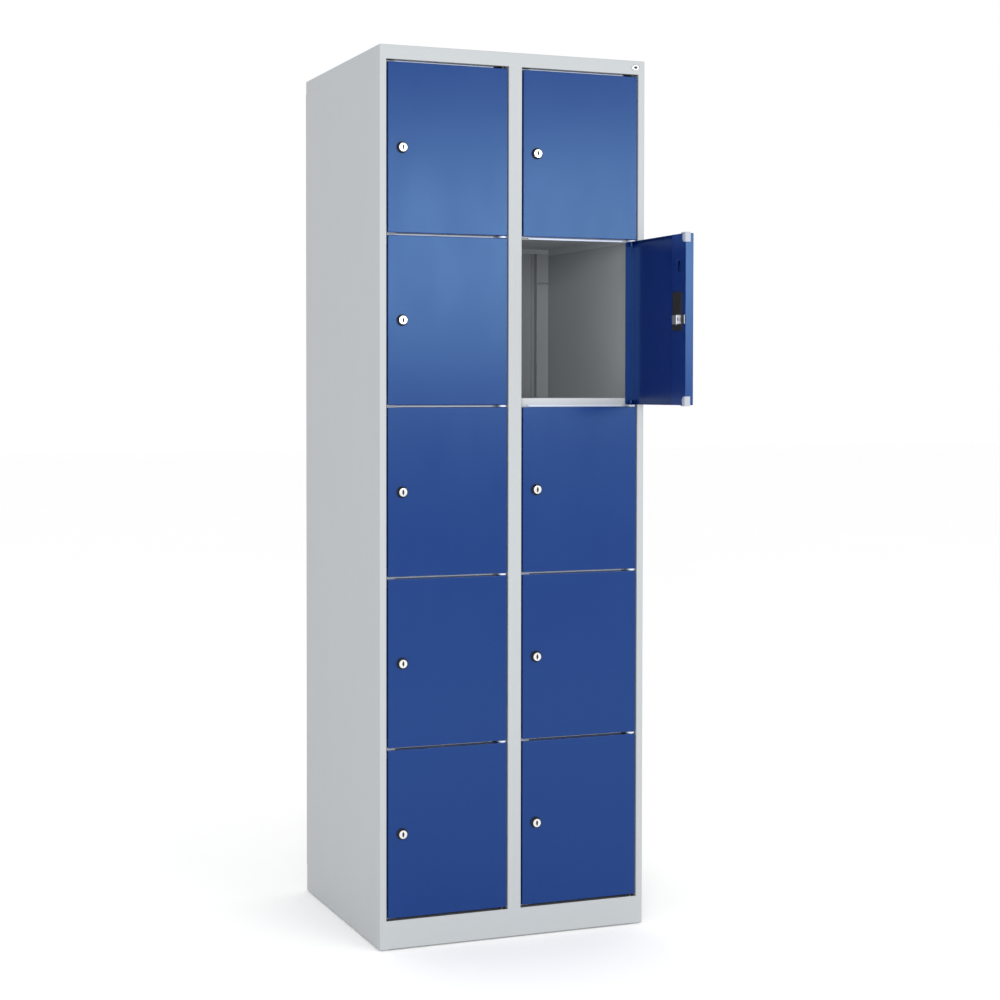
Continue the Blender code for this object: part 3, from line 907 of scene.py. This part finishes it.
    def cam(self) -> bpy.types.Object:
        """Cam hanging from the plug's tail, with the nut that holds it and the crank pin's riveted head."""
        half, reach, outer = 3.6 * MM, self.throw, self.cam_y[1]
        plate = Bench.block("cam", (-half, half), self.cam_y, (-reach - half, half))
        Bench.round_edges(plate, lambda a, b: abs(a.y - b.y) > 0.5 * MM, half * 0.98, 8)
        nut = Bench.turned("nut", [(3.3 * MM, 0.1 * MM), (3.3 * MM, -1.8 * MM)], Axis.OUT_OF_DOOR, 6)
        head = [
            (2.8 * MM, 0.1 * MM),
            (2.8 * MM, -0.3 * MM),
            (2.3 * MM, -0.9 * MM),
            (1.3 * MM, -1.3 * MM),
            (0.4 * MM, -1.4 * MM),
        ]
        rivet = Bench.turned("rivet", head, Axis.OUT_OF_DOOR, 32)
        pin = Bench.turned("pin", [(1.2 * MM, 0.5 * MM), (1.2 * MM, 3.6 * MM)], Axis.OUT_OF_DOOR, 24)
        nut.data.transform(Matrix.Translation((0, outer, 0)))
        for part in (rivet, pin):
            part.data.transform(Matrix.Translation((0, outer, -reach)))
        Bench.boolean(plate, [nut, rivet, pin], "UNION")
        return Bench.soften(plate, 0.15 * MM)

    def bolt(self) -> bpy.types.Object:
        """Sliding bolt, drawn back: a thick block with a thin round-nosed tongue, the openings for the
        plug's tail and the crank pin, and an angled hood over the cam with a window in its upright side."""
        z = (-self.bolt_half, self.bolt_half)
        body = Bench.block("bolt", self.bolt_x, self.bolt_y, z)
        inset = 0.05 * MM
        tongue = Bench.block(
            "tongue",
            (self.nose_x, self.bolt_x[0] + 1 * MM),
            (self.tongue_y[0] + inset, self.tongue_y[1]),
            (z[0] + inset, z[1] - inset),
        )
        nose = self.nose_x + 1 * MM
        Bench.round_edges(tongue, lambda a, b: a.x < nose and b.x < nose and a.y == b.y, 0.6 * MM)
        skin = 0.08 * MM
        hood_z = (z[0] + skin, z[1] - skin)
        hood = Bench.block("hood", self.hood_x, (self.bolt_y[1] - 1 * MM, self.hood_top), hood_z)
        corner = self.hood_top - 1 * MM
        Bench.round_edges(
            hood,
            lambda a, b: max(a.x, b.x) < 0 and min(a.y, b.y) > corner and abs(a.z - b.z) > SHORT,
            1.8 * MM,
            5,
        )
        room = Bench.block(
            "room",
            (self.hood_x[0] + self.hood_wall, self.hood_x[1] + 1 * MM),
            (self.bolt_y[1] - 2 * MM, self.hood_top - self.hood_wall),
            (2 * z[0], 2 * z[1]),
        )
        window = Bench.block(
            "window",
            (self.hood_x[0] - 1 * MM, 0),
            (self.bolt_y[1] + 1.4 * MM, self.hood_top - 2.4 * MM),
            (-3 * MM, 3 * MM),
        )
        Bench.boolean(hood, [room, window])
        Bench.boolean(body, [tongue, hood], "UNION")
        through = (self.bolt_y[0] - 1 * MM, self.bolt_y[1] + 1 * MM)
        slot, notch, lead = 3.4 * MM, 1.6 * MM, 1.7 * MM
        tools = [
            Bench.block("slot", (-slot, self.throw + slot), through, (-slot, slot)),
            Bench.block("notch", (-notch - lead, notch), through, (2 * z[0], 0)),
        ]
        return Bench.soften(Bench.boolean(body, tools), 0.2 * MM)

    def shade_sleeve(self) -> bpy.types.Object:
        """Black plastic slipper round the bolt's tongue, with a groove along its face. Its black is painted
        shade: it stands where the metal tongue lies in shadow and reflects the dark inside of the door.
        """
        x = (self.nose_x + 3.4 * MM, self.bolt_x[0] - 0.1 * MM)
        y = (self.tongue_y[0] - 0.3 * MM, self.tongue_y[1] + 0.6 * MM)
        half = self.bolt_half + 0.3 * MM
        body = Bench.block("shade_sleeve", x, y, (-half, half))
        Bench.faces(body, lambda middle, normal: normal.y > FACING)
        bpy.ops.mesh.inset(thickness=1.2 * MM)
        bpy.ops.transform.translate(value=(0, -0.25 * MM, 0))
        bpy.ops.object.mode_set(mode="OBJECT")
        return Bench.soften(body, 0.2 * MM)

    def build(self, doors: Sequence[DoorPlace]) -> None:
        """Copies the lock to every door."""
        looks = self.finishes
        patterns = [
            (self.rosette(), "lock_rosette", looks.black, Slot.LOCK, "door", "lock_body"),
            (self.case(), "lock_case", looks.black, Slot.LOCK, "door", "lock_body"),
            (self.plug(), "key_cylinder", looks.nickel, Slot.METAL, "plug", "lock_plug"),
            # The keyway guide is black as painted shade inside the keyway.
            (self.keyway_shade(), "keyway_painted_shade", looks.black, Slot.LOCK, "plug", "lock_plug"),
            (self.cam(), "lock_cam", looks.zinc, Slot.METAL, "plug", "lock_plug"),
            (self.bolt(), "sliding_bolt", looks.zinc, Slot.METAL, "bolt", "lock_bolt"),
            # The sleeve's black is painted shade over the bolt's tongue.
            (self.shade_sleeve(), "bolt_sleeve_painted_shade", looks.black, Slot.LOCK, "bolt", "lock_bolt"),
        ]
        for pattern, name, look, slot, body, node in patterns:
            for door in doors:
                place = door.matrix @ Matrix.Translation((self.lock_x, 0, 0))
                piece = Bench.copy(pattern, f"{name}_{door.tag}", place)
                self.shop.finish(piece, look, f"{body}_{door.tag}", slot, f"{node}_{door.tag}")
            bpy.data.objects.remove(pattern)


@dataclass
class Trim:
    """What is left on the carcass: hinge blocks, door buffers, ground welds, feet and the badge."""

    shop: Shop
    finishes: Finishes
    low: Vector
    high: Vector
    front_y: float
    rail_height: float = 29 * MM
    plinth_top: float = 61 * MM
    seam: float = 0.3 * MM
    post: float = 15 * MM
    corner_r: float = 2 * MM
    strip_y: float = 9.4 * MM

    def hinge_blocks(self, doors: Sequence[DoorPlace]) -> None:
        """Pale nylon block over each hinge ear, in the gap between two doors."""
        ear_r, ear_half, skin = 8 * MM, 1.5 * MM, 0.3 * MM
        half = ear_half + skin
        pattern = Bench.block(
            "hinge_block",
            (-ear_r - skin, ear_r + skin),
            (-7.2 * MM - skin, 13.4 * MM),
            (-GAP_MIDDLE - half, -GAP_MIDDLE + half),
        )
        front, round_r = -7 * MM, ear_r * 0.97
        Bench.round_edges(
            pattern, lambda a, b: max(a.y, b.y) < front and abs(a.z - b.z) > SHORT, round_r, 10
        )
        Bench.soften(pattern, 0.3 * MM)
        for door in doors:
            if door.row < ROWS[-1]:
                piece = Bench.copy(pattern, f"hinge_block_{door.tag}", Matrix.Translation(door.hinge))
                self.shop.finish(piece, self.finishes.nylon, "root")
        bpy.data.objects.remove(pattern)

    def buffers(self, doors: Sequence[DoorPlace]) -> None:
        """Rubber strip that a door closes against, along the lip below it and along the stop above row 1. Its
        pale lavender colour is a painted highlight: it stands in for light falling on the lip in the gap
        between two doors.
        """
        x, y, half = (-237.4 * MM, -17.1 * MM), (self.strip_y, 11 * MM), 1.95 * MM
        stop_rise = 0.3 * MM
        for door in doors:
            middles = {"lower": -GAP_MIDDLE} if door.row < ROWS[-1] else {}
            if door.row == ROWS[0]:
                middles["upper"] = GAP_MIDDLE + stop_rise
            for name, middle in middles.items():
                z = (middle - half, middle + half)
                strip = Bench.block(f"door_buffer_{name}_{door.tag}", x, y, z)
                Bench.soften(strip, 0.35 * MM, 3)
                strip.data.transform(Matrix.Translation(door.hinge))
                self.shop.finish(strip, self.finishes.buffer, "root")

    def weld_ring(self, name: str, z: float) -> None:
        """Ground weld round the carcass that closes a level seam, left open across the doors.

        Args:
            name: Which seam it is.
            z: Height of the seam's upper edge.
        """
        skin, thick, lap = 0.05 * MM, 0.6 * MM, 0.1 * MM
        limits = (z - self.seam - lap, z + lap)
        x, y = (self.low.x, self.high.x), (self.front_y, self.high.y)
        ring = Bench.block(name, (x[0] + skin, x[1] - skin), (y[0] + skin, y[1] - skin), limits)
        Bench.round_edges(ring, lambda a, b: a.z != b.z, self.corner_r - skin, 5)
        tall = (limits[0] - thick, limits[1] + thick)
        core = Bench.block("core", (x[0] + thick, x[1] - thick), (y[0] + thick, y[1] - thick), tall)
        middle = (x[0] + x[1]) / 2
        in_front = (y[0] - thick, y[0] + 2 * thick)
        openings = [
            Bench.block("opening", span, in_front, tall)
            for span in ((x[0] + self.post, middle - self.post), (middle + self.post, x[1] - self.post))
        ]
        Bench.boolean(ring, [core, *openings])
        self.shop.finish(ring, self.finishes.grey, "root", Slot.CARCASS)

    def seam_fill(self) -> None:
        """Filler, slightly sunk, in the seam between the two middle posts."""
        middle = (self.low.x + self.high.x) / 2
        sunk = 0.12 * MM
        fill = Bench.block(
            "post_seam_fill",
            (middle - 1.5 * self.seam, middle + 1.5 * self.seam),
            (self.front_y + sunk, self.front_y + 5 * sunk),
            (self.plinth_top, self.high.z - self.rail_height),
        )
        Bench.soften(fill, 0.1 * MM)
        self.shop.finish(fill, self.finishes.grey, "root", Slot.CARCASS)

    def feet(self) -> None:
        """Round glide with a raised rim, and its stem, for each levelling foot."""
        for depth in ("front", "rear"):
            for side in ("left", "right"):
                node = f"foot_{depth}_{side}"
                low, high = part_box(node)
                middle = (low + high) / 2
                profile = [
                    (10.6 * MM, 0),
                    (11.7 * MM, 0.4 * MM),
                    (12 * MM, 1 * MM),
                    (11.8 * MM, 2.3 * MM),
                    (11 * MM, 2.7 * MM),
                    (4 * MM, 2.7 * MM),
                    (4 * MM, high.z),
                ]
                piece = Bench.turned(f"{node}_glide", profile, Axis.UP)
                piece.data.transform(Matrix.Translation((middle.x, middle.y, 0)))
                Bench.soften(piece, 0.15 * MM)
                self.shop.finish(piece, self.finishes.glide, "root", Slot.FOOT, node)

    def badge(self) -> None:
        """Plain oval plate with a dark ring and a dark blank field."""
        low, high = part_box("badge_plate")
        middle, size = (low + high) / 2, high - low
        foot, top = size.y * 0.5, size.y
        layers = [
            ("base", [(0.5, 0), (0.5, size.y * 0.6), (0.485, size.y * 0.7)], self.finishes.plate),
            (
                "ring",
                [(0.41, foot), (0.47, foot), (0.465, top), (0.415, top), (0.41, foot)],
                self.finishes.black,
            ),
            ("field", [(0.22, foot), (0.22, size.y * 0.9), (0.2, top)], self.finishes.black),
        ]
        for name, profile, look in layers:
            layer = Bench.turned(f"badge_plate_{name}", profile, Axis.OUT_OF_DOOR, 64)
            layer.data.transform(Matrix.Diagonal((size.x, 1, size.z, 1)))
            layer.data.transform(Matrix.Translation((middle.x, high.y, middle.z)))
            Bench.soften(layer, 0.05 * MM)
            self.shop.finish(layer, look, "root", Slot.BADGE, "badge_plate")

    def build(self, doors: Sequence[DoorPlace]) -> None:
        """Makes all of the trim."""
        self.hinge_blocks(doors)
        self.buffers(doors)
        self.weld_ring("ground_weld_upper", self.high.z - self.rail_height)
        self.weld_ring("ground_weld_lower", self.plinth_top + self.seam)
        self.seam_fill()
        self.feet()
        self.badge()


@dataclass
class Studio:
    """Pale floor, soft lights and the camera."""

    camera_place: Triple = (-1.5681, -3.69365, 1.1469)
    camera_pitch: float = -1.494
    camera_yaw: float = -20.135
    lens: float = 67.1
    shift: Pair = (0.1018, -0.06)

    def build(self) -> None:
        """Sets up the scene round the locker."""
        self.camera()
        self.floor()
        self.world()
        self.softbox("key", (1.8, -4.1, 1.78), (0, 0, 1.4), (2.6, 0.9), 47)
        self.softbox("fill", (-2.1, -4.5, 1.7), (0, 0, 1.2), (1.3, 1.3), 88)

    def camera(self) -> None:
        """Level camera, slightly lowered in pitch."""
        data = bpy.data.cameras.new("camera")
        data.lens = self.lens
        data.sensor_width = 36
        data.shift_x, data.shift_y = self.shift
        camera = bpy.data.objects.new("camera", data)
        camera.location = self.camera_place
        camera.rotation_euler = (math.radians(90 + self.camera_pitch), 0, math.radians(self.camera_yaw))
        bpy.context.scene.collection.objects.link(camera)
        bpy.context.scene.camera = camera

    def floor(self) -> None:
        """Wide pale floor."""
        Bench.deselect()
        bpy.ops.mesh.primitive_plane_add(size=60)
        floor = bpy.context.object
        floor.name = "floor"
        tree = Tree("pale_floor")
        tone = tree.noise(0.8)
        paper = tree.mix(tone, (0.985,) * 3, (0.995,) * 3)
        floor.data.materials.append(tree.dress(base_color=paper, roughness=0.9))
        floor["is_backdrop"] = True

    def world(self) -> None:
        """Even white surroundings."""
        world = bpy.data.worlds.new("studio")
        world.use_nodes = True
        background = world.node_tree.nodes["Background"]
        background.inputs["Color"].default_value = (1, 1, 1, 1)
        background.inputs["Strength"].default_value = 1.0
        bpy.context.scene.world = world
        bpy.context.scene.view_settings.view_transform = "Standard"

    def softbox(self, name: str, place: Triple, aim: Triple, size: Pair, power: float) -> None:
        """Adds a rectangular soft light.

        Args:
            name: Its name.
            place: Where it stands.
            aim: What it points at.
            size: Its width and height.
            power: Its power in watts.
        """
        data = bpy.data.lights.new(name, "AREA")
        data.shape = "RECTANGLE"
        data.size, data.size_y = size
        data.energy = power
        light = bpy.data.objects.new(name, data)
        light.location = place
        light.rotation_euler = (Vector(aim) - Vector(place)).to_track_quat("-Z", "Y").to_euler()
        bpy.context.scene.collection.objects.link(light)


def door_places(joints: Sequence[dict]) -> list[DoorPlace]:
    """Reads where the doors hang from the frame's joints.

    Args:
        joints: The frame's joints.

    Returns:
        One place for each door.
    """
    by_name = {joint["name"]: joint for joint in joints}
    places = []
    for side in ("left", "right"):
        for row in ROWS:
            hinge = Vector(by_name[f"door_hinge_{side}_{row}"]["pos_m"])
            inward = by_name[f"plug_turn_{side}_{row}"]["axis"]
            places.append(DoorPlace(side, row, hinge, math.atan2(-inward[0], inward[1])))
    return places


def main() -> None:
    """Builds the locker's looks and the studio."""
    logging.basicConfig(level=logging.INFO, format="%(message)s")
    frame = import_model()
    cad_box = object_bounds()
    finishes = Finishes()
    shop = Shop(frame["record"]["behaviour"]["bodies"])
    metal = SheetMetal(shop, frame["nodes"])
    for node in frame["nodes"]:
        if node.startswith("door_"):
            metal.coat(node, finishes.blue, Slot.DOOR)
        elif not node.startswith(("lock_", "foot_", "badge_")):
            # Shelves take the lit copy of the grey, which is painted light.
            metal.coat(node, finishes.pale if node.startswith("shelf_") else finishes.grey, Slot.CARCASS)
    doors = door_places(frame["joints"])
    DoorFittings(shop, finishes).build(doors)
    Lock(shop, finishes).build(doors)
    Trim(shop, finishes, *cad_box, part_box("plinth")[0].y).build(doors)
    Studio().build()


if __name__ == "__main__":
    main()
